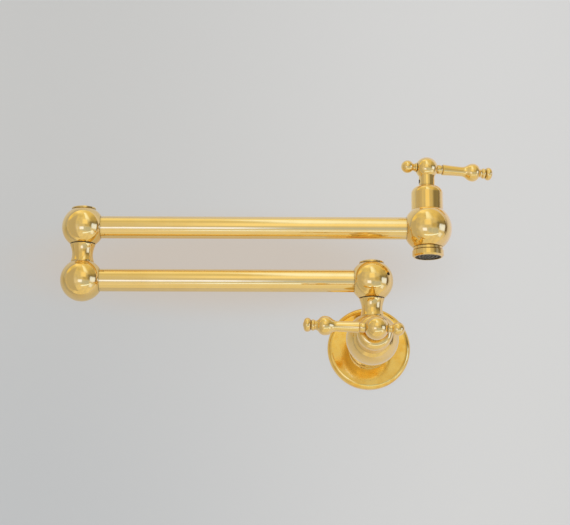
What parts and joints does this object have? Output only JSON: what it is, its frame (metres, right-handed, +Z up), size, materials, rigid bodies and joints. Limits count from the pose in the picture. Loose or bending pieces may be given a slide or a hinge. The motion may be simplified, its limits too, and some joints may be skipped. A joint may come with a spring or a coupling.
{
  "type": "wall mounted pot filler",
  "caption": "Polished brass wall mounted pot filler with two folding swivel arms, ball-shaped lever valves at the wall and the spout, and a round wall flange.",
  "frame": {"origin": "centre of the wall flange's back face, on the wall", "axes": "+Y into the wall, +Z up, +X to the right as seen from in front; the arms are folded along the wall"},
  "size_m": [0.3874, 0.1224, 0.2041],
  "materials": {
    "polished_brass": "polished and clear lacquered",
    "plain_brass": "machined, not polished",
    "steel_hardware": "stainless steel, as turned or stamped",
    "rubber_seal": "moulded, matte",
    "plastic_bearing": "dark acetal, matte",
    "ceramic": "lapped white ceramic",
    "plastic_insert": "moulded black, satin"
  },
  "bodies": {
    "wall_valve": {"escutcheon": "polished_brass", "escutcheon_seal": "rubber_seal", "escutcheon_set_screw": "steel_hardware", "wall_valve_body": "polished_brass", "wall_swivel_post": "polished_brass", "wall_swivel_o_rings": "rubber_seal", "wall_thrust_washer": "plastic_bearing", "wall_swivel_washer": "steel_hardware", "wall_swivel_nut": "plain_brass", "wall_cartridge": "plain_brass", "wall_seat_seal": "rubber_seal", "wall_fixed_disc": "ceramic", "wall_bonnet": "polished_brass"},
    "wall_handle": {"wall_handle_hub": "polished_brass", "wall_lever": "polished_brass", "wall_finial": "polished_brass", "wall_handle_screw": "steel_hardware", "wall_spindle": "plain_brass", "wall_spindle_o_rings": "rubber_seal", "wall_spindle_clip": "steel_hardware", "wall_moving_disc": "ceramic"},
    "lower_arm": {"wall_joint_ball": "polished_brass", "wall_joint_cap": "polished_brass", "lower_arm_tube": "polished_brass", "elbow_lower_ball": "polished_brass", "elbow_swivel_post": "polished_brass", "elbow_swivel_o_rings": "rubber_seal", "elbow_thrust_washer": "plastic_bearing", "elbow_swivel_washer": "steel_hardware", "elbow_swivel_nut": "plain_brass"},
    "upper_arm": {"elbow_joint_ball": "polished_brass", "elbow_joint_cap": "polished_brass", "upper_arm_tube": "polished_brass", "spout_valve_body": "polished_brass", "spout_cartridge": "plain_brass", "spout_seat_seal": "rubber_seal", "spout_fixed_disc": "ceramic", "spout_bonnet": "polished_brass", "outlet_nipple": "polished_brass", "aerator_washer": "rubber_seal", "aerator_housing": "polished_brass", "aerator_insert": "plastic_insert"},
    "spout_handle": {"spout_handle_hub": "polished_brass", "spout_lever": "polished_brass", "spout_finial": "polished_brass", "spout_handle_screw": "steel_hardware", "spout_spindle": "plain_brass", "spout_spindle_o_rings": "rubber_seal", "spout_spindle_clip": "steel_hardware", "spout_moving_disc": "ceramic"}
  },
  "joints": [
    {"name": "wall_swivel", "type": "hinge", "parent": "wall_valve", "child": "lower_arm", "pos_m": [0, -0.055, 0.05222], "axis": [0, 0, 1], "range_deg": [0, 180]},
    {"name": "elbow_swivel", "type": "hinge", "parent": "lower_arm", "child": "upper_arm", "pos_m": [-0.257, -0.055, 0.10051], "axis": [0, 0, 1], "range_deg": [-180, 180]},
    {"name": "wall_handle_turn", "type": "hinge", "parent": "wall_valve", "child": "wall_handle", "pos_m": [0, -0.055, 0], "axis": [0, -1, 0], "range_deg": [0, 90]},
    {"name": "spout_handle_turn", "type": "hinge", "parent": "upper_arm", "child": "spout_handle", "pos_m": [0.0505, -0.055, 0.10051], "axis": [0, 0, 1], "range_deg": [-90, 0]}
  ]
}
